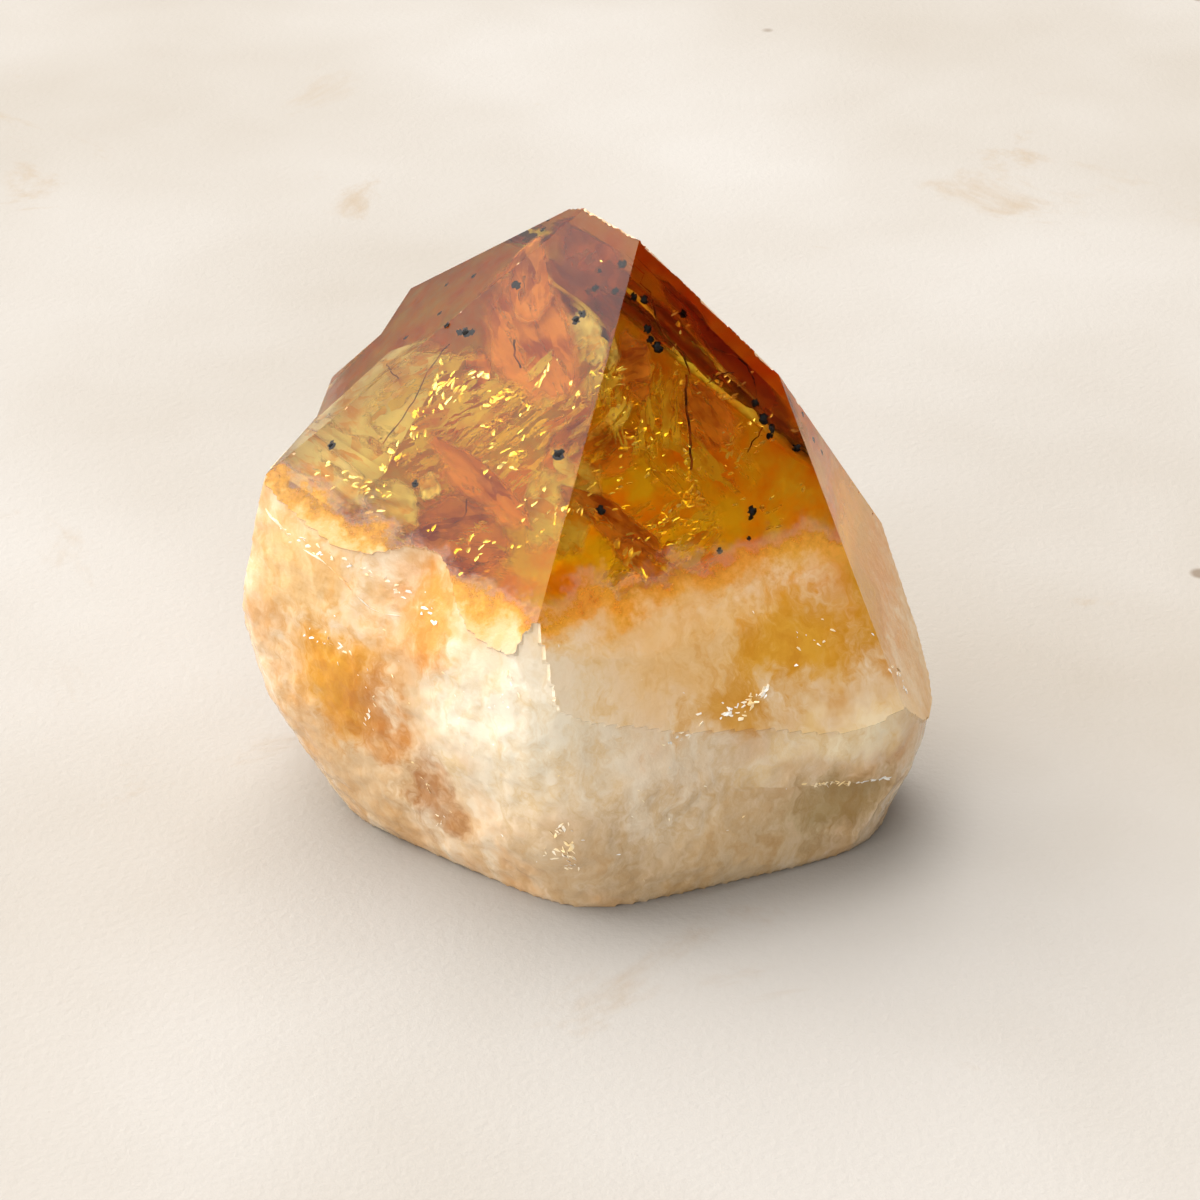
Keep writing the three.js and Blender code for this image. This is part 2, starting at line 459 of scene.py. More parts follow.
def plaster_material():
    """Limewashed plaster: a pale matt wash in broad patches, with tan smudges, small dark pits and fine
    pores.
    """
    material, tree, place = new_material("limewashed_plaster")
    patches = add_node(tree, "TexNoise", {"Vector": place, "Scale": 11.0, "Detail": 4.0}).outputs["Fac"]
    washes = ((0.32, linear("91897D")), (0.62, linear("A09B94")))
    wash = add_node(tree, "ValToRGB", {"Fac": patches}, washes).outputs["Color"]
    smudges = add_node(
        tree,
        "TexNoise",
        {"Vector": place, "Scale": 26.0, "Detail": 6.0, "Roughness": 0.68, "Distortion": 0.8},
    ).outputs["Fac"]
    smudged = add_node(
        tree,
        "MapRange",
        {"Value": smudges, "From Min": 0.60, "From Max": 0.74, "To Max": 0.6},
        interpolation_type="SMOOTHSTEP",
    ).outputs[0]
    tan = add_node(tree, "Mix", {0: smudged, 6: wash, 7: linear("8E7A5E")}, data_type="RGBA").outputs[2]
    pits = add_node(tree, "TexVoronoi", {"Vector": place, "Scale": 34.0}).outputs["Distance"]
    pitted = add_node(
        tree,
        "MapRange",
        {"Value": pits, "From Min": 0.045, "From Max": 0.025, "To Max": 0.85},
        interpolation_type="SMOOTHSTEP",
    ).outputs[0]
    dotted = add_node(
        tree, "Mix", {0: pitted, 6: tan, 7: linear("6B5B49")}, data_type="RGBA"
    ).outputs[2]
    pores = add_node(
        tree, "TexNoise", {"Vector": place, "Scale": 1300.0, "Detail": 3.0, "Roughness": 0.6}
    ).outputs["Fac"]
    bump = add_node(
        tree, "Bump", {"Strength": 0.30, "Distance": 0.25 * MM, "Height": pores}
    ).outputs["Normal"]
    plaster = add_node(
        tree, "BsdfPrincipled", {"Roughness": 0.85, "Base Color": dotted, "Normal": bump}
    ).outputs["BSDF"]
    add_node(tree, "OutputMaterial", {"Surface": plaster})
    return material


def add_floor():
    """The pale surface that the crystal stands on."""
    deselect_all()
    bpy.ops.mesh.primitive_plane_add(size=1.6, location=(0, 0, 0))
    floor = bpy.context.active_object
    floor.name = "floor"
    floor.data.materials.append(plaster_material())


# Directions in the studio sky: its brightest part, and the flags with the share of glow each leaves.
SKY_CENTRE = (-0.44, 0.47, 0.765)
FLAGS = (((0.76, -0.54, 0.37), 0.03), ((-0.42, 0.905, 0.01), 0.45))


def add_softbox(name, direction, distance, size, power, colour):
    """A square soft light that faces the crystal from a direction."""
    centre = Vector((0, 0, 0.02))
    light_data = bpy.data.lights.new(name, "AREA")
    light_data.size = size
    light_data.energy = power
    light_data.color = linear(colour)[:3]
    light = bpy.data.objects.new(name, light_data)
    bpy.context.scene.collection.objects.link(light)
    toward = Vector(direction).normalized()
    light.location = centre + distance * toward
    light.rotation_euler = toward.to_track_quat("Z", "Y").to_euler()
    return light


def facing_share(tree, direction, far, near, at_far, at_near):
    """A value that goes from at_far to at_near as the view turns, from far to near in degrees,
    towards a direction of the sky."""
    view = add_node(tree, "TexCoord").outputs["Generated"]
    facing = add_node(
        tree, "VectorMath", {0: view, 1: Vector(direction).normalized()}, operation="DOT_PRODUCT"
    )
    share = {
        "Value": facing.outputs["Value"],
        "From Min": math.cos(math.radians(far)),
        "From Max": math.cos(math.radians(near)),
        "To Min": at_far,
        "To Max": at_near,
    }
    return add_node(tree, "MapRange", share, interpolation_type="SMOOTHSTEP").outputs[0]


def add_lights():
    """A pale room, brightest up behind on the left, with two dark flags that keep it from
    mirroring in the right front face and the left sliver, a window and a low fill."""
    world = bpy.data.worlds.new("studio")
    bpy.context.scene.world = world
    world.use_nodes = True
    tree = world.node_tree
    tree.nodes.clear()
    glow = facing_share(tree, SKY_CENTRE, 57, 23, 0.77, 5.7)
    for direction, left in FLAGS:
        flag = facing_share(tree, direction, 34, 18, 1.0, left)
        glow = add_node(tree, "Math", {0: glow, 1: flag}, operation="MULTIPLY").outputs[0]
    background = add_node(tree, "Background", {"Color": linear("FBFAFA"), "Strength": glow})
    add_node(tree, "OutputWorld", {"Surface": background.outputs["Background"]})
    add_softbox("window", (-0.80, 0.30, 0.55), 2.4, 1.5, 15.5, "FFF8EE")
    add_softbox("low_fill", (-0.60, -0.76, 0.26), 2.2, 1.4, 16.5, "FFFAF4")


def add_camera():
    """A long lens looking down at the crystal's front from 30 degrees above."""
    camera_data = bpy.data.cameras.new("camera")
    camera_data.lens = 108
    camera_data.clip_start = 0.01
    camera = bpy.data.objects.new("camera", camera_data)
    bpy.context.scene.collection.objects.link(camera)
    target = Vector((0.97, -0.1, 16.4)) * MM
    elevation = math.radians(30)
    distance = 296 * MM
    camera.location = target + distance * Vector((0, -math.cos(elevation), math.sin(elevation)))
    camera.rotation_euler = (math.radians(90) - elevation, 0, 0)
    bpy.context.scene.camera = camera


def set_film():
    """Plain tones, and enough bounces for light to cross the crystal."""
    scene = bpy.context.scene
    scene.view_settings.view_transform = "Standard"
    scene.view_settings.look = "None"
    scene.cycles.max_bounces = 12
    scene.cycles.transmission_bounces = 10
    scene.cycles.diffuse_bounces = 3
    scene.cycles.glossy_bounces = 5
    scene.cycles.transparent_max_bounces = 12
    scene.cycles.sample_clamp_indirect = 10.0


def cad_copy():
    """A copy of the crystal's construction node, with its loose triangles joined."""
    source = frame["nodes"][NODE]
    piece = bpy.data.objects.new("crystal_copy", source.data.copy())
    bpy.context.scene.collection.objects.link(piece)
    piece.data.materials.clear()
    make_active(piece)
    edit_all()
    bpy.ops.mesh.remove_doubles(threshold=WELD)
    bpy.ops.object.mode_set(mode="OBJECT")
    return piece


def apply_modifier(piece, kind, **options):
    """Adds one modifier to a piece and applies it."""
    make_active(piece)
    modifier = piece.modifiers.new(kind.lower(), kind)
    for name, value in options.items():
        setattr(modifier, name, value)
    bpy.ops.object.modifier_apply(modifier=modifier.name)


def cut_away(piece, planes):
    """Cuts off what lies outside all the planes, with a big block trimmed down to that."""
    deselect_all()
    bpy.ops.mesh.primitive_cube_add(size=160 * MM, location=(0, 0, 20 * MM))
    block = bpy.context.active_object
    bpy.ops.object.mode_set(mode="EDIT")
    for normal, distance in planes:
        bpy.ops.mesh.select_all(action="SELECT")
        bpy.ops.mesh.bisect(
            plane_co=normal * distance, plane_no=normal, use_fill=True, clear_inner=True, threshold=1e-7
        )
    bpy.ops.mesh.select_all(action="SELECT")
    bpy.ops.mesh.normals_make_consistent(inside=False)
    bpy.ops.object.mode_set(mode="OBJECT")
    bpy.ops.object.transform_apply(location=True, rotation=True, scale=True)
    apply_modifier(piece, "BOOLEAN", operation="DIFFERENCE", object=block, solver="MANIFOLD")
    bpy.data.objects.remove(block, do_unlink=True)


def stand_out_from(planes, vertex):
    """The push that lifts a vertex clear of the planes it lies on, or None off them."""
    gaps = [(normal, normal.dot(vertex.co) - distance) for normal, distance in planes]
    if min(gap for _, gap in gaps) < -0.35 * MM:
        return None
    near = [normal for normal, gap in gaps if abs(gap) < 0.3 * MM and normal.dot(vertex.normal) > 0.9]
    if not near:
        return None
    return sum(near, Vector()) * 0.9 * MM


def rough_height(place):
    """Height of the broken surface at a place in millimetres: swells, scalloped breaks and grain."""
    swell = noise.noise(place * 0.2)
    drift = Vector((noise.noise(place * 0.5), noise.noise(place * 0.5 + Vector((7, 7, 7))), 0))
    distances, _ = noise.voronoi(place * 0.17 + drift * 0.35)
    scallop = 0.55 - min(1.0, distances[1] - distances[0])
    medium = noise.noise(place * 0.8 + Vector((11, 5, 3)))
    fine = noise.noise(place * 2.3 + Vector((3, 17, 9)))
    return 0.8 * swell + 0.7 * scallop + 0.4 * medium + 0.2 * fine


def grow_surface(piece):
    """Rebuilds the copy in fine even faces, roughens its root and cuts the crystal faces sharp."""
    apply_modifier(piece, "REMESH", mode="VOXEL", voxel_size=settings().grain)
    mesh = piece.data
    height = settings().roughness_height
    all_cuts = [*((pyramid_plane,) for pyramid_plane in PYRAMID.values()), *GROWTH_STEPS]
    moves = []
    for vertex in mesh.vertices:
        push = Vector()
        lifted = False
        for planes in all_cuts:
            lift = stand_out_from(planes, vertex)
            if lift is not None:
                push += lift
                lifted = True
        if not lifted:
            fade = min(1.0, max(0.0, vertex.co.z / FOOT_FADE))
            inset = min(distance - normal.dot(vertex.co) for normal, distance in PYRAMID.values())
            fade *= min(1.0, max(0.1, inset / EDGE_FADE))
            push = vertex.normal * height * rough_height(vertex.co / MM) * (0.1 + 0.9 * fade)
            if vertex.co.z < 0.2 * MM:
                push.z = 0
        moves.append(push)
    for vertex, push in zip(mesh.vertices, moves):
        vertex.co += push
        vertex.co.z = max(0.0, vertex.co.z)
    for planes in (*all_cuts, LEDGE):
        cut_away(piece, planes)


def make_chip():
    """The bite of a small conchoidal chip: a coarse ball, squashed along one axis."""
    deselect_all()
    bpy.ops.mesh.primitive_ico_sphere_add(subdivisions=2, radius=0.5)
    chip = bpy.context.active_object
    chip.scale = (1.0, 0.62, 0.85)
    bpy.ops.object.transform_apply(scale=True)
    return chip


# Chipped edges: where each starts and ends in millimetres, number of chips, least and most size.
CHIPPED_EDGES = (
    ((-0.2, 1.75, 50.6), (3.98, -1.5, 49.4), 9, 0.5, 1.1),
    ((3.98, -1.5, 49.4), (15.02, -2.43, 38.22), 14, 0.35, 0.9),
    ((15.02, -2.43, 38.22), (23.76, 3.39, 21.98), 7, 0.3, 0.8),
    ((3.98, -1.5, 49.4), (-2.5, -18.8, 28.5), 5, 0.2, 0.35),
    ((15.02, -2.43, 38.22), (25.0, -9.4, 16.0), 6, 0.25, 0.6),
    ((-0.2, 1.75, 50.6), (-25.5, -4.8, 30.2), 6, 0.2, 0.5),
)


def chip_edges(piece):
    """Knocks small chips off the sharp edges."""
    draw = random.Random(settings().seed + 2)
    places = []
    for start, end, count, least, most in CHIPPED_EDGES:
        start, end = Vector(start), Vector(end)
        along = (end - start).normalized()
        outward = along.orthogonal()
        for index in range(count):
            share = (index + draw.uniform(0.25, 0.75)) / count
            size = draw.uniform(least, most)
            sideways = Matrix.Rotation(draw.uniform(0, 2 * math.pi), 3, along) @ outward
            centre = start.lerp(end, share) + sideways * size * 0.12
            lift = (centre - Vector((0, 0, 20))).normalized() * size * 0.30
            places.append(((centre + lift) * MM, size * MM, 1.2, random_turn(draw, along, 0.5), 0.0))
    chips = scatter(make_chip(), places)
    apply_modifier(piece, "BOOLEAN", operation="DIFFERENCE", object=chips, solver="MANIFOLD")
    bpy.data.objects.remove(chips, do_unlink=True)
    drop_crumbs(piece)


def drop_crumbs(piece):
    """Deletes any crumb the cuts left loose, keeping what hangs together with the base."""
    make_active(piece)
    lowest = min(piece.data.vertices, key=lambda vertex: vertex.co.z)
    for vertex in piece.data.vertices:
        vertex.select = vertex.index == lowest.index
    bpy.ops.object.mode_set(mode="EDIT")
    bpy.ops.mesh.select_mode(type="VERT")
    bpy.ops.mesh.select_linked()
    bpy.ops.mesh.select_all(action="INVERT")
    bpy.ops.mesh.delete(type="VERT")
    bpy.ops.object.mode_set(mode="OBJECT")


# The crystal's materials by their order, and the one that each pyramid face takes.
CLEAR, LEFT, SMOKED, CLOUDED, HAZY, ROOT = range(6)
FINISH = {
    "left_front": LEFT,
    "right_front": SMOKED,
    "right_sliver": HAZY,
    "right_back": CLOUDED,
    "left_back": CLOUDED,
    "left_sliver": CLEAR,
}


def lies_on(polygon, normal, distance):
    """True if a face lies in a plane, within the slack that a boolean cut leaves."""
    return normal.dot(polygon.normal) > 0.9999 and abs(normal.dot(polygon.center) - distance) < 2e-6


def sort_faces(mesh):
    """Gives each face its finish: clear crystal, clear crystal that clouds lower down, or root."""
    flats = [(FINISH[face_name], *PYRAMID[face_name]) for face_name in FACE_NAMES]
    flats += [(CLOUDED, *step_plane) for planes in GROWTH_STEPS for step_plane in planes]
    for polygon in mesh.polygons:
        polygon.material_index = ROOT
        polygon.use_smooth = True
        for finish, normal, distance in flats:
            if lies_on(polygon, normal, distance):
                polygon.material_index = finish
                polygon.use_smooth = False


def mark_sharp_edges(piece):
    """Keeps the shading crisp where two surfaces meet at an angle."""
    make_active(piece)
    bpy.ops.object.mode_set(mode="EDIT")
    bpy.ops.mesh.select_mode(type="EDGE")
    bpy.ops.mesh.select_all(action="DESELECT")
    bpy.ops.mesh.edges_select_sharp(sharpness=CREASE)
    bpy.ops.mesh.mark_sharp()
    bpy.ops.object.mode_set(mode="OBJECT")


class CITRINE_OT_crystal(bpy.types.Operator):
    """Grows the crystal's surface: flat glossy faces above, rough broken root below"""

    bl_idname = "citrine.crystal"
    bl_label = "Crystal"

    def execute(self, context):
        piece = cad_copy()
        grow_surface(piece)
        chip_edges(piece)
        piece.data.materials.clear()
        line = settings().milk_height
        for material in (
            quartz_material("heat_treated_quartz", line, 1.8 * MM, 0.6),
            quartz_material("heat_treated_quartz_left", 24.8 * MM, 1.8 * MM, 0.85, slope=0.22, sheen=0.35),
            quartz_material("heat_treated_quartz_smoky", line, 2.4 * MM, 0.93, smoky=True),
            quartz_material("heat_treated_quartz_over_milk", line, 1.5 * MM, 0.97),
            quartz_material("heat_treated_quartz_hazy", 27.0 * MM, 7.0 * MM, 0.85, sheen=0.25),
            quartz_material("milky_quartz", 60 * MM, 1.0 * MM),
        ):
            piece.data.materials.append(material)
        sort_faces(piece.data)
        mark_sharp_edges(piece)
        finish_piece(piece, "crystal")
        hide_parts(NODE)
        return {"FINISHED"}


def milk_top(x, y):
    """Height of the milk inside, in millimetres: a bowl whose rim is highest at the back."""
    deepest = 16.5
    reach = min(1.0, math.hypot((x + 1) / 26, y / 20.5))
    rim = 24.0 + 6.5 * max(0.0, -x / 26) + 14.0 * max(0.0, y / 20) ** 1.2 + 3.0 * max(0.0, x / 26)
    lumps = 2.0 * noise.noise(Vector((x, y, 0)) * 0.16) + 0.9 * noise.noise(Vector((x, y, 7)) * 0.45)
    return deepest + (rim - deepest) * reach**2.0 + lumps


def milk_material():
    """Milky quartz: white quartz clouded with fluid bubbles, peach where iron stains it."""
    tones = ((0.35, linear("FFB860")), (0.6, linear("FFF4DC")))
    finish = {"Roughness": 0.6, "IOR": QUARTZ_IOR}
    return mottled_material("milky_quartz_core", 260.0, 6.0, tones, finish)


class CITRINE_OT_milk(bpy.types.Operator):
    """Fills the root with its milky cloud, just under the surface"""

    bl_idname = "citrine.milk"
    bl_label = "Milky cloud"

    def execute(self, context):
        piece = cad_copy()
        apply_modifier(piece, "REMESH", mode="VOXEL", voxel_size=0.8 * MM)
        mesh = piece.data
        for vertex in mesh.vertices:
            vertex.co.z = min(vertex.co.z, milk_top(vertex.co.x / MM, vertex.co.y / MM) * MM)
        apply_modifier(piece, "SMOOTH", iterations=4)
        normals = [vertex.normal.copy() for vertex in mesh.vertices]
        for vertex, normal in zip(mesh.vertices, normals):
            vertex.co -= normal * MILK_INSET * MM
        bpy.ops.object.shade_smooth()
        finish_piece(piece, "milky_cloud", milk_material())
        return {"FINISHED"}


def shard_cover(tree, length, width, low, high, strength):
    """How solid a film is: angular shards drawn out along its U axis and combed into streaks, thinning
    to nothing at its rim. Also gives each shard's own value from 0 to 1. Sizes are in millimetres."""
    flat = add_node(tree, "UVMap", uv_map="UVMap").outputs["UV"]
    wander = add_node(tree, "TexNoise", {"Vector": flat, "Scale": 0.6, "Detail": 2.0})
    bent = add_node(
        tree,
        "VectorMath",
        {0: wander.outputs["Color"], 1: (0.9, 0.9, 0.9), 2: flat},
        operation="MULTIPLY_ADD",
    ).outputs["Vector"]
    drawn = add_node(
        tree, "Mapping", {"Vector": bent, "Scale": (1 / length, 1 / width, 1.0)}
    ).outputs["Vector"]
    shards = add_node(tree, "TexVoronoi", {"Vector": drawn, "Scale": 1.0, "Detail": 1.0})
    streaks = add_node(
        tree, "TexNoise", {"Vector": drawn, "Scale": 0.8, "Detail": 4.0, "Roughness": 0.68}
    ).outputs["Fac"]
    own = add_node(tree, "SeparateColor", {"Color": shards.outputs["Color"]}).outputs
    combed = add_node(
        tree, "Math", {0: own["Red"], 1: 0.30, 2: streaks}, operation="MULTIPLY_ADD"
    ).outputs[0]
    cover = add_node(
        tree,
        "MapRange",
        {"Value": combed, "From Min": low + 0.15, "From Max": high + 0.15, "To Max": strength},
        interpolation_type="SMOOTHSTEP",
    ).outputs[0]
    rim = add_node(tree, "Attribute", attribute_name="rim").outputs["Fac"]
    alpha = add_node(tree, "Math", {0: cover, 1: rim}, operation="MULTIPLY")
    return alpha.outputs[0], own["Green"]


def sheet_material(name, dark, light, streak, alpha, roughness):
    """A flat inclusion whose colour and cover run in streaks; the callers say what it is."""
    material, tree, place = new_material(name)
    material.use_transparent_shadow = False
    cover, own_value = shard_cover(tree, *streak, *alpha)
    zones = add_node(tree, "TexNoise", {"Vector": place, "Scale": 360.0, "Detail": 3.0}).outputs["Fac"]
    tone = add_node(
        tree, "Math", {0: own_value, 1: 0.32, 2: zones}, operation="MULTIPLY_ADD"
    ).outputs[0]
    tones = ((0.50, linear(dark)), (0.80, linear(light)))
    colour = add_node(tree, "ValToRGB", {"Fac": tone}, tones).outputs["Color"]
    film = add_node(
        tree,
        "BsdfPrincipled",
        {"Roughness": roughness, "IOR": 1.3, "Base Color": colour, "Alpha": cover},
    ).outputs["BSDF"]
    add_node(tree, "OutputMaterial", {"Surface": film})
    return material


def veil_material():
    """Healed fractures: films of tiny fluid bubbles that scatter the light as pale gold feathers."""
    return sheet_material(
        "healed_fracture_veil", "E68C10", "FFD860", (2.6, 0.6), (0.53, 0.62, 0.75), 0.28
    )


def iron_fracture_material():
    """Open fractures coloured by iron oxide: they glow orange-red where light crosses them."""
    return sheet_material(
        "iron_stained_fracture", "B8520E", "F6983A", (3.0, 0.8), (0.28, 0.50, 0.72), 0.3
    )


def smoky_material():
    """Smoke in quartz: colour centres that darken the crystal towards its point, red-brown."""
    return sheet_material("smoky_zone", "82280A", "B4500F", (9.0, 5.0), (0.15, 0.45, 0.72), 0.4)


def pale_plate_material():
    """A fresh break inside the crystal: it turns the light back whole, as a pale yellow window."""
    return sheet_material("fresh_inner_break", "F2AC44", "FFE6A4", (2.6, 1.1), (0.22, 0.46, 0.85), 0.2)


def new_film(divisions, width, height, seed):
    """A fine grid to bend into a film, with its UV map in millimetres and its rim's own attribute."""
    deselect_all()
    bpy.ops.mesh.primitive_grid_add(x_subdivisions=divisions, y_subdivisions=divisions, size=2.0)
    sheet = bpy.context.active_object
    uv_layer = sheet.data.uv_layers.active.data
    for loop in sheet.data.loops:
        place = sheet.data.vertices[loop.vertex_index].co
        uv_layer[loop.index].uv = (place.x * width / 2 + seed * 7.3, place.y * height / 2 + seed * 3.1)
    return sheet, sheet.data.attributes.new("rim", "FLOAT", "POINT")


def window_sheet(face_name, corners, seed):
    """A closed four-cornered sheet with straight edges, a little crumpled, inside the crystal."""
    sheet, rim = new_film(24, 7.0, 9.0, seed)
    first, second, third, fourth = (under_face(face_name, *corner) for corner in corners)
    for vertex in sheet.data.vertices:
        across, up = (vertex.co.x + 1) / 2, (vertex.co.y + 1) / 2
        crumple = 0.25 * noise.noise(Vector((across * 3, up * 3, seed))) * MM
        rim.data[vertex.index].value = 1.0
        place = first.lerp(fourth, across).lerp(second.lerp(third, across), up)
        vertex.co = place + crumple * PYRAMID[face_name][0]
    apply_modifier(sheet, "SOLIDIFY", thickness=FILM_THICKNESS)
    return sheet


def bent_sheet(centre, normal, right, width, height, bulge, seed):
    """A curved, slightly crumpled closed sheet round a point inside the crystal."""
    sheet, rim = new_film(26, width, height, seed)
    turn = Matrix((right, normal.cross(right), normal)).transposed()
    for vertex in sheet.data.vertices:
        x, y = vertex.co.x, vertex.co.y
        waves = 0.28 * noise.noise(Vector((x * 1.7, y * 1.7, seed)))
        nicks = 0.12 * noise.noise(Vector((x * 5, y * 5, seed + 9)))
        reach = math.hypot(x, y) + (waves + nicks)
        rim.data[vertex.index].value = max(0.0, min(1.0, (0.92 - reach) / 0.25))
        crumple = 0.35 * noise.noise(Vector((x * 2.2, y * 2.2, seed + 4)))
        local = Vector((x * width / 2, y * height / 2, bulge * (x * x + y * y) + crumple))
        vertex.co = turn @ (local * MM) + centre
    apply_modifier(sheet, "SOLIDIFY", thickness=FILM_THICKNESS)
    return sheet


def join_pieces(pieces):
    """Joins pieces into the first of them."""
    make_active(pieces[0])
    for piece in pieces:
        piece.select_set(True)
    bpy.ops.object.join()
    return bpy.context.active_object


def inside_crystal(point, margin):
    """True if a point lies inside the clear part, at least a margin below every flat face."""
    if any(normal.dot(point) - distance > -margin for normal, distance in PYRAMID.values()):
        return False
    for planes in GROWTH_STEPS:
        if min(normal.dot(point) - distance for normal, distance in planes) > -margin:
            return False
    return True


def keep_inside(piece, margin):
    """Pulls any point of a piece that comes too near a flat face back under it."""
    for vertex in piece.data.vertices:
        for normal, distance in PYRAMID.values():
            over = normal.dot(vertex.co) - distance + margin
            if over > 0:
                vertex.co -= normal * over


def random_turn(draw, axis, spread):
    """A direction within a spread, in radians, of an axis."""
    sideways = axis.orthogonal().normalized()
    sideways = Matrix.Rotation(draw.uniform(0, 2 * math.pi), 3, axis) @ sideways
    return (Matrix.Rotation(draw.gauss(0, spread), 3, sideways) @ axis).normalized()


# Veils and stained fractures: face, across, down and depth in millimetres, width, height, bulge,
# turn in the face's plane and lean off it, both in degrees.
VEILS = (
    ("left_front", -2.0, 20.0, 5.0, 13, 15, 0.8, 55, 18),
    ("left_front", 3.0, 18.0, 8.0, 15, 14, -0.6, 70, -25),
    ("left_front", 2.0, 28.0, 7.0, 16, 9, 0.5, 20, 30),
    ("left_front", 6.5, 12.0, 3.5, 8, 9, 0.4, 80, 10),
    ("right_front", 3.6, 15.5, 5.0, 8, 13, 0.6, 80, 20),
    ("right_front", 8.5, 19.0, 7.5, 12, 10, -0.5, 130, -20),
    ("right_front", 5.0, 27.0, 7.0, 14, 8, 0.4, 25, -12),
)
IRON_FRACTURES = (
    ("left_front", 4.2, 22.3, 4.8, 12.5, 4.0, 0.9, -8, 25),
    ("left_front", 4.5, 27.0, 6.5, 11, 8, 0.8, 35, 20),
    ("left_front", -1.6, 15.2, 5.0, 3.0, 4.5, 0.3, 20, 15),
    ("left_front", 1.2, 10.5, 3.0, 14.0, 8.0, 0.3, -30, 8),
    ("left_front", -1.5, 6.8, 2.4, 9.0, 5.0, 0.3, -52, 8),
    ("right_front", 0.5, 24.5, 4.2, 9.5, 3.4, 0.9, -35, 20),
    ("right_front", 0.5, 19.5, 7.0, 8.5, 4.4, 0.9, 20, -20),
    ("right_front", 2.6, 12.5, 3.4, 3.4, 7.0, 0.4, 10, 12),
    ("right_front", 9.5, 16.5, 5.0, 7.5, 4.4, 0.5, -50, 12),
    ("right_front", 2.5, 27.5, 3.0, 7.0, 3.0, 0.5, -30, 18),
)
SMOKE = (
    ("right_back", -3.0, 19.0, 0.9, 9, 16, 0.1, 0, 0),
    ("right_back", 6.0, 24.0, 0.9, 12, 11, 0.1, 0, 0),
    ("right_front", 10.2, 10.2, 2.6, 22, 4.6, 0.4, -52, 6),
    ("left_front", 1.8, 3.0, 3.0, 8.5, 5.6, 0.3, -30, 8),
)
PALE_PLATES = (
    ("left_front", -8.0, 28.0, 2.6, 12, 4.4, 0.4, -6, 12),
    ("left_front", -1.5, 27.5, 4.5, 6, 4.5, 0.4, 10, 20),
    ("left_front", 0.6, 24.8, 3.6, 2.2, 2.6, 0.3, 40, 15),
    ("left_front", 5.2, 8.4, 3.4, 3.2, 5.0, 0.3, 60, 10),
    ("left_front", 9.5, 20.5, 6.5, 5.0, 9.0, 0.4, 14, 12),
)
# Straight-edged breaks: face, then the across, down and depth of four corners.
WINDOWS = (
    ("left_front", ((-11.4, 26.6, 2.8), (-9.4, 17.4, 3.4), (-4.2, 15.2, 4.2), (-3.7, 27.0, 4.6))),
    ("left_front", ((-12.0, 30.4, 1.6), (-11.2, 25.6, 2.2), (-3.4, 25.6, 4.2), (-5.0, 30.4, 3.0))),
)


def sheets_from(rows, first_seed):
    """Hangs one bent sheet for each row and joins them."""
    sheets = []
    for seed, row in enumerate(rows, first_seed):
        face_name, across, down, depth, width, height, bulge, turn, lean = row
        right, _, normal, _ = face_frame(face_name)
        along = Matrix.Rotation(math.radians(turn), 3, normal) @ right
        facing = Matrix.Rotation(math.radians(lean), 3, along) @ normal
        centre = under_face(face_name, across, down, depth)
        sheet = bent_sheet(centre, facing, along, width, height, bulge, seed)
        keep_inside(sheet, FILM_MARGIN)
        sheets.append(sheet)
    return join_pieces(sheets)


class CITRINE_OT_veils(bpy.types.Operator):
    """Hangs the feathery healed fractures and the iron-stained ones inside the crystal"""

    bl_idname = "citrine.veils"
    bl_label = "Veils and fractures"

    def execute(self, context):
        finish_piece(sheets_from(VEILS, 1), "healed_veils", veil_material())
        finish_piece(sheets_from(IRON_FRACTURES, 31), "stained_fractures", iron_fracture_material())
        finish_piece(sheets_from(SMOKE, 51), "smoky_zones", smoky_material())
        bent = sheets_from(PALE_PLATES, 71)
        windows = [window_sheet(face_name, corners, 91) for face_name, corners in WINDOWS]
        finish_piece(join_pieces([bent, *windows]), "pale_breaks", pale_plate_material())
        return {"FINISHED"}


def glint_material():
    """Open cracks in quartz: their far wall mirrors all light, so flakes of them flash pale gold."""
    tones = ((0.4, linear("FFCC40")), (0.6, linear("FFEFA0")))
    finish = {"Roughness": 0.22, "Metallic": 0.7}
    return mottled_material("internal_crack_mirror", 500.0, 3.0, tones, finish)


# The way down on to the front faces in which the sparkles are meant to flash.
FRONT_LOOK = Vector((0, 0.866, -0.5))


def refracted(ray, normal):
    """A ray's direction once it has entered quartz through a face."""
    cosine = -ray.dot(normal)
    inner = math.sqrt(1 - (1 - cosine * cosine) / QUARTZ_IOR**2)
    return ray / QUARTZ_IOR + (cosine / QUARTZ_IOR - inner) * normal


def flash_normal(seen_through, lit_through):
    """How a crack must lean to throw the bright sky, let in by one face, out of another."""
    seen = refracted(FRONT_LOOK, PYRAMID[seen_through][0])
    lit = -refracted(-Vector(SKY_CENTRE).normalized(), PYRAMID[lit_through][0])
    return (lit - seen).normalized()


def make_shard():
    """One sliver of a crack: a ragged five-sided plate, a little hollow."""
    deselect_all()
    bpy.ops.mesh.primitive_circle_add(vertices=5, radius=0.5, fill_type="NGON")
    shard = bpy.context.active_object
    for vertex, reach in zip(shard.data.vertices, (1.0, 0.7, 1.15, 0.6, 0.9)):
        vertex.co *= reach
    edit_all()
    bpy.ops.mesh.poke(offset=0.03)
    bpy.ops.object.mode_set(mode="OBJECT")
    apply_modifier(shard, "SOLIDIFY", thickness=0.05)
    return shard


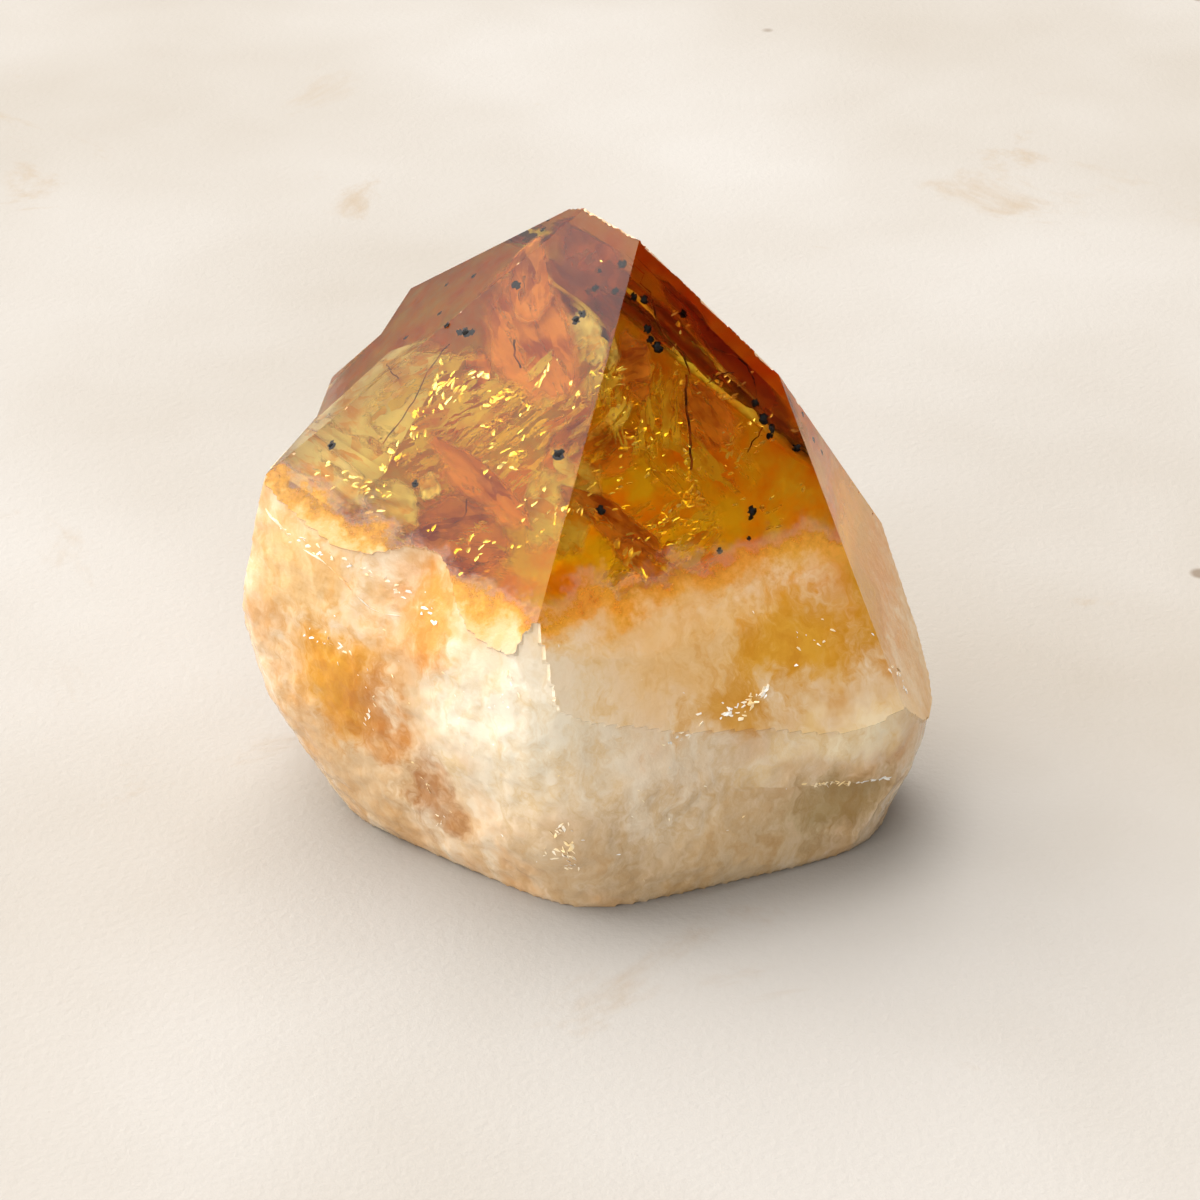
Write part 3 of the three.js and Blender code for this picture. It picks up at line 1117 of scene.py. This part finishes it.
def scatter(shape, places):
    """Copies a shape, each copy with its own mesh, to each place, size, length and facing."""
    copies = []
    for centre, size, stretch, facing, spin in places:
        copy = shape.copy()
        copy.data = shape.data.copy()
        bpy.context.scene.collection.objects.link(copy)
        turn = facing.to_track_quat("Z", "Y").to_matrix() @ Matrix.Rotation(spin, 3, "Z")
        scale = Matrix.Diagonal((size * stretch, size / stretch, size))
        copy.matrix_world = Matrix.Translation(centre) @ (turn @ scale).to_4x4()
        copies.append(copy)
    deselect_all()
    for copy in copies:
        copy.select_set(True)
    bpy.context.view_layer.objects.active = copies[0]
    bpy.ops.object.transform_apply(location=True, rotation=True, scale=True)
    joined = join_pieces(copies)
    bpy.data.objects.remove(shape, do_unlink=True)
    return joined


# Sparkles by face: across, down, half width, half height, least and most depth, number of cracks,
# size of a shard and the way the cracks run in degrees.
GLINTS = {
    "left_front": (
        (0.2, 16.6, 2.6, 2.0, 1.5, 6.0, 11, 0.62, 20),
        (-2.4, 18.5, 2.0, 2.4, 1.5, 6.0, 9, 0.55, 75), (3.6, 14.2, 1.2, 2.0, 1.5, 5.0, 5, 0.5, 80),
        (4.0, 20.0, 3.0, 2.4, 2.0, 7.0, 8, 0.5, 35), (-3.4, 22.0, 0.6, 4.5, 2.0, 4.5, 11, 0.5, 82),
        (7.5, 13.5, 1.0, 3.0, 1.5, 5.0, 5, 0.45, 70), (-6.0, 28.2, 3.6, 0.8, 0.8, 2.0, 12, 0.5, 10),
        (5.5, 26.5, 4.0, 3.0, 2.0, 7.0, 7, 0.5, 50), (9.5, 22.5, 2.0, 3.0, 1.5, 5.0, 6, 0.45, 60),
    ),
    "right_front": (
        (0.6, 14.0, 1.2, 3.6, 1.5, 5.0, 10, 0.55, 75), (2.2, 17.5, 2.2, 2.6, 1.5, 6.0, 9, 0.5, 25),
        (6.9, 17.0, 0.5, 6.5, 1.5, 4.5, 15, 0.5, 88), (9.8, 14.3, 2.2, 1.2, 1.5, 4.0, 9, 0.5, 40),
        (1.0, 21.5, 3.0, 2.4, 1.5, 6.0, 10, 0.5, 30), (6.8, 23.5, 0.8, 2.4, 1.0, 4.0, 9, 0.6, 85),
        (11.5, 20.5, 3.0, 2.6, 1.5, 5.0, 14, 0.48, 40),
        (4.8, 26.2, 3.2, 1.4, 1.0, 4.0, 16, 0.5, 55), (0.9, 27.8, 0.5, 1.2, 0.8, 2.5, 6, 0.8, 85),
        (12.5, 25.0, 2.0, 1.0, 0.8, 3.0, 4, 0.5, 40),
    ),
}


class CITRINE_OT_glints(bpy.types.Operator):
    """Scatters the small mirror-bright cracks that sparkle inside the crystal"""

    bl_idname = "citrine.glints"
    bl_label = "Sparkles"

    def execute(self, context):
        draw = random.Random(settings().seed)
        places = []
        rows = [(face_name, *row) for face_name in GLINTS for row in GLINTS[face_name]]
        for face_name, across, down, half_width, half_height, least, most, count, size, way in rows:
            right, slope, _, _ = face_frame(face_name)
            lit_through = "left_front" if face_name == "left_front" else "left_back"
            for _ in range(count):
                turn = math.radians(way + draw.gauss(0, 12))
                along = math.cos(turn) * right - math.sin(turn) * slope
                start = under_face(
                    face_name,
                    draw.gauss(across, half_width * 0.6),
                    draw.gauss(down, half_height * 0.6),
                    draw.uniform(least, most),
                )
                facing = random_turn(draw, flash_normal(face_name, lit_through), 0.15)
                for step in range(draw.randint(1, 5)):
                    drift = Vector([draw.gauss(0, 0.26) for _ in range(3)])
                    centre = start + (along * step * 0.55 + drift) * MM
                    if not inside_crystal(centre, SPARKLE_MARGIN):
                        continue
                    tilted = random_turn(draw, facing, 0.15)
                    length = size * draw.uniform(0.45, 1.35) * MM
                    stretch = draw.uniform(1.1, 2.0)
                    places.append((centre, length, stretch, tilted, turn + draw.gauss(0, 0.4)))
        finish_piece(scatter(make_shard(), places), "crack_sparkles", glint_material())
        return {"FINISHED"}


# Hair-thin iron oxide threads: face, depth, width in millimetres, then points across and down.
THREADS = (
    ("right_front", 1.4, 0.16, ((9.0, 11.4), (10.6, 11.9), (11.7, 12.5), (12.4, 13.8), (12.6, 15.1))),
    ("right_front", 1.4, 0.15, ((4.0, 7.5), (4.2, 9.2), (4.9, 10.3), (6.2, 11.6), (6.9, 13.4))),
    ("right_front", 1.2, 0.10, ((2.6, 4.8), (3.3, 5.5), (2.9, 6.2), (3.8, 6.9), (3.6, 7.8))),
    ("right_front", 2.4, 0.22, ((6.9, 13.4), (6.7, 15.6), (6.9, 18.0), (6.8, 20.8))),
    ("right_front", 2.0, 0.14, ((13.2, 17.8), (12.2, 18.8), (11.7, 19.6))),
    ("right_front", 1.6, 0.12, ((8.6, 14.0), (9.6, 13.4), (10.8, 13.3))),
    ("left_front", 1.4, 0.16, ((0.6, 11.6), (1.4, 12.6), (2.4, 13.2))),
    ("left_front", 1.8, 0.14, ((-4.2, 14.6), (-4.4, 17.4), (-4.0, 20.6), (-4.3, 24.0))),
    ("left_front", 1.6, 0.12, ((-8.4, 18.4), (-7.2, 18.8), (-6.2, 19.0))),
    ("left_front", 1.6, 0.12, ((4.6, 24.0), (5.2, 25.2), (4.8, 26.2))),
)


def thread_material():
    """Iron oxide that crept along a hair crack: a thin matt thread, rust brown to near black."""
    tones = ((0.4, linear("431602")), (0.62, linear("A5520F")))
    finish = {"Roughness": 0.7, "IOR": 1.5, "Specular IOR Level": 0.2}
    return mottled_material("iron_oxide_thread", 900.0, 3.0, tones, finish)


def make_thread(face_name, depth, width, points):
    """A thread drawn out of a small square and pushed on from point to point."""
    places = [under_face(face_name, *point, depth) for point in points]
    fine = []
    for start, end in zip(places, places[1:]):
        for step in range(4):
            spot = start.lerp(end, step / 4)
            at = spot / MM * 1.7
            wander = Vector([noise.noise(at + Vector((31 * axis, 0, 0))) for axis in range(3)])
            fine.append(spot + wander * 0.16 * MM)
    fine.append(places[-1])
    deselect_all()
    bpy.ops.mesh.primitive_circle_add(vertices=4, radius=width / 2 * MM, fill_type="NGON")
    thread = bpy.context.active_object
    along = (fine[1] - fine[0]).normalized()
    thread.rotation_euler = along.to_track_quat("Z", "Y").to_euler()
    thread.location = fine[0]
    bpy.ops.object.transform_apply(location=True, rotation=True, scale=True)
    edit_all()
    for start, end in zip(fine, fine[1:]):
        bpy.ops.mesh.extrude_region_move(TRANSFORM_OT_translate={"value": end - start})
    bpy.ops.mesh.select_all(action="SELECT")
    bpy.ops.mesh.normals_make_consistent(inside=False)
    bpy.ops.object.mode_set(mode="OBJECT")
    keep_inside(thread, THREAD_MARGIN)
    return thread


class CITRINE_OT_threads(bpy.types.Operator):
    """Draws the hair-thin rust threads under the front faces"""

    bl_idname = "citrine.threads"
    bl_label = "Rust threads"

    def execute(self, context):
        threads = join_pieces([make_thread(*row) for row in THREADS])
        finish_piece(threads, "iron_oxide_threads", thread_material())
        return {"FINISHED"}


# Fresh cracks that open on the broken root: points along each in millimetres, how far its slivers
# stray from it, how many there are and their size.
ROOT_CRACKS = (
    (((14.3, -15.7, 17.6), (13.2, -16.5, 17.0), (12.1, -17.3, 16.6), (10.4, -18.1, 16.7)), 0.30, 34, 0.62),
    (((8.4, -18.6, 16.0), (5.6, -19.8, 14.9)), 0.35, 12, 0.45),
    (((-1.6, -22.4, 9.2), (-1.9, -22.2, 7.4), (-1.4, -22.0, 5.6)), 0.55, 26, 0.6),
    (((-3.4, -21.8, 6.2), (-1.2, -21.9, 4.6)), 0.6, 14, 0.5),
    (((-6.4, -21.2, 23.2), (-5.6, -21.2, 20.6), (-7.2, -20.6, 18.4)), 0.35, 12, 0.4),
    (((17.3, -15.8, 8.4), (19.3, -14.9, 8.0), (21.8, -13.6, 7.4), (24.5, -11.8, 6.5)), 0.12, 44, 0.5),
    (((24.4, -10.6, 17.0), (24.6, -9.4, 14.6), (24.4, -9.6, 12.8)), 0.35, 14, 0.45),
    (((-22.6, -9.6, 18.6), (-20.4, -11.0, 19.4), (-18.2, -12.6, 17.8)), 0.5, 16, 0.4),
    (((-17.4, -13.0, 15.0), (-17.2, -13.0, 11.6)), 0.5, 10, 0.38),
    (((-14.2, -14.6, 10.0), (-12.0, -16.0, 7.0), (-11.6, -16.0, 4.0)), 0.6, 12, 0.36),
    (((16.0, -13.6, 22.4), (19.6, -12.0, 18.6)), 1.4, 12, 0.34),
    (((-24.6, -7.0, 26.8), (-20.4, -10.4, 26.6), (-16.0, -13.4, 25.6), (-12.0, -16.6, 23.8)), 0.3, 36, 0.5),
    (((0.0, -21.4, 14.0), (8.0, -19.6, 8.0)), 4.0, 24, 0.26),
    (((-16.0, -13.6, 20.0), (-8.0, -20.0, 14.0)), 4.0, 20, 0.26),
)


def fresh_crack_material():
    """Fresh quartz splinters: colourless, so what is seen is the light they throw back, near white."""
    tones = ((0.4, linear("FFE3A6")), (0.58, linear("FFFDF6")))
    finish = {"Roughness": 0.12, "IOR": QUARTZ_IOR, "Coat Weight": 1.0, "Coat Roughness": 0.05}
    return mottled_material("fresh_quartz_splinter", 420.0, 3.0, tones, finish)


class CITRINE_OT_root_cracks(bpy.types.Operator):
    """Opens fresh white cracks and splinters on the broken root"""

    bl_idname = "citrine.root_cracks"
    bl_label = "Root cracks"

    def execute(self, context):
        draw = random.Random(settings().seed + 5)
        crystal = bpy.data.objects["crystal"]
        places = []
        for points, stray, count, size in ROOT_CRACKS:
            for index in range(count):
                share = (index + draw.random()) / count * (len(points) - 1)
                leg = min(int(share), len(points) - 2)
                spot = Vector(points[leg]).lerp(Vector(points[leg + 1]), share - leg)
                spot += Vector([draw.gauss(0, stray) for _ in range(3)])
                _, centre, normal, _ = crystal.closest_point_on_mesh(spot * MM)
                along = Vector(points[leg + 1]) - Vector(points[leg])
                facing = random_turn(draw, normal, 0.5)
                length = size * draw.uniform(0.4, 1.2) * MM
                spin = facing.to_track_quat("Z", "Y").inverted() @ along
                turn = math.atan2(spin.y, spin.x) + draw.gauss(0, 0.5)
                stretch = draw.uniform(1.3, 2.2)
                places.append((centre + normal * 0.01 * MM, length, stretch, facing, turn))
        finish_piece(scatter(make_shard(), places), "root_splinters", fresh_crack_material())
        return {"FINISHED"}


def speck_material():
    """Goethite: iron oxide grown in tufts, near black with a brown cast and a dull lustre."""
    tones = ((0.4, linear("050403")), (0.7, linear("1A110B")))
    finish = {"Roughness": 0.6, "IOR": 1.5, "Specular IOR Level": 0.2}
    return mottled_material("goethite", 4000.0, 3.0, tones, finish)


def make_speck():
    """One tuft of iron oxide: a flattened ball whose corners are drawn in and out at random."""
    deselect_all()
    bpy.ops.mesh.primitive_ico_sphere_add(subdivisions=2, radius=0.5)
    speck = bpy.context.active_object
    draw = random.Random(3)
    for vertex in speck.data.vertices:
        vertex.co *= draw.choice((0.62, 0.8, 1.0, 1.25))
        vertex.co.z *= 0.45
    return speck


# Specks by face: across and down in millimetres, depth, size.
SPECKS = {
    "left_front": (
        (9.6, 17.3, 0.5, 0.78), (-7.6, 26.2, 0.5, 0.55), (0.5, 25.2, 0.5, 0.48),
        (-3.0, 13.1, 0.5, 0.66), (-3.5, 13.4, 0.6, 0.42), (-2.5, 12.8, 0.6, 0.4),
        (4.7, 7.2, 0.5, 0.5), (4.6, 7.9, 0.5, 0.55), (4.5, 4.9, 0.5, 0.45), (6.1, 4.3, 0.5, 0.45),
        (5.2, 2.3, 1.2, 0.6), (-1.5, 7.9, 1.4, 0.6), (4.0, 3.6, 0.6, 0.28),
    ),
    "left_sliver": (
        (-1.9, 12.0, 0.4, 0.45), (-4.1, 15.5, 0.4, 0.38), (1.3, 14.9, 0.4, 0.42),
        (4.8, 13.4, 0.4, 0.45), (1.7, 18.4, 0.4, 0.42),
    ),
    "right_front": (
        (2.0, 7.3, 0.5, 0.5), (2.9, 7.5, 0.5, 0.58), (3.0, 9.8, 0.5, 0.55), (3.2, 10.7, 0.5, 0.5),
        (3.8, 11.2, 0.5, 0.72), (12.1, 15.8, 0.5, 0.55), (12.7, 17.0, 0.5, 0.7),
        (13.4, 17.9, 0.5, 0.6), (13.2, 18.4, 0.5, 0.45), (15.5, 19.4, 0.5, 0.55),
        (11.2, 24.2, 0.5, 0.62), (11.1, 24.7, 0.5, 0.42), (-1.8, 23.6, 0.5, 0.6),
        (8.2, 27.2, 0.5, 0.42), (10.8, 26.4, 0.5, 0.3),
    ),
    "right_sliver": ((-1.7, 22.2, 0.4, 0.4), (-2.1, 24.5, 0.4, 0.4), (-1.7, 26.0, 0.4, 0.42)),
    "right_back": (
        (-4.0, 14.0, 0.5, 0.55), (1.5, 19.0, 0.5, 0.5), (3.0, 11.0, 0.5, 0.45),
        (-1.0, 24.0, 0.5, 0.55),
    ),
    "left_back": ((2.0, 15.0, 0.5, 0.5), (-3.0, 21.0, 0.5, 0.55), (5.0, 25.0, 0.5, 0.45)),
}


class CITRINE_OT_specks(bpy.types.Operator):
    """Sets the black iron-oxide specks just under the faces"""

    bl_idname = "citrine.specks"
    bl_label = "Specks"

    def execute(self, context):
        draw = random.Random(settings().seed + 1)
        places = []
        rows = [(face_name, *row) for face_name in SPECKS for row in SPECKS[face_name]]
        for face_name, across, down, depth, size in rows:
            centre = under_face(face_name, across, down, 0.3 * depth)
            if not inside_crystal(centre, 0.05 * MM):
                continue
            _, _, normal, _ = face_frame(face_name)
            facing = random_turn(draw, normal, 0.2)
            places.append((centre, 1.2 * size * MM, draw.uniform(0.9, 1.15), facing, draw.uniform(0, 6.3)))
        finish_piece(scatter(make_speck(), places), "iron_oxide_specks", speck_material())
        return {"FINISHED"}


class CITRINE_PT_panel(bpy.types.Panel):
    """Lists the steps that build the citrine point"""

    bl_label = "Citrine point"
    bl_idname = "CITRINE_PT_panel"
    bl_space_type = "VIEW_3D"
    bl_region_type = "UI"
    bl_category = "Citrine"

    def draw(self, context):
        for step in STEPS:
            self.layout.operator(step.bl_idname)


STEPS = (
    CITRINE_OT_stage,
    CITRINE_OT_crystal,
    CITRINE_OT_milk,
    CITRINE_OT_veils,
    CITRINE_OT_glints,
    CITRINE_OT_threads,
    CITRINE_OT_root_cracks,
    CITRINE_OT_specks,
)
CLASSES = (CrystalSettings, CrystalColours, *STEPS, CITRINE_PT_panel)


def register():
    for cls in CLASSES:
        bpy.utils.register_class(cls)
    bpy.types.Scene.citrine_settings = bpy.props.PointerProperty(type=CrystalSettings)
    bpy.types.Scene.citrine_colours = bpy.props.PointerProperty(type=CrystalColours)


def unregister():
    del bpy.types.Scene.citrine_colours
    del bpy.types.Scene.citrine_settings
    for cls in reversed(CLASSES):
        bpy.utils.unregister_class(cls)


def main():
    register()
    bpy.ops.citrine.stage()
    bpy.ops.citrine.crystal()
    bpy.ops.citrine.milk()
    bpy.ops.citrine.veils()
    bpy.ops.citrine.glints()
    bpy.ops.citrine.threads()
    bpy.ops.citrine.root_cracks()
    bpy.ops.citrine.specks()


if __name__ == "__main__":
    main()
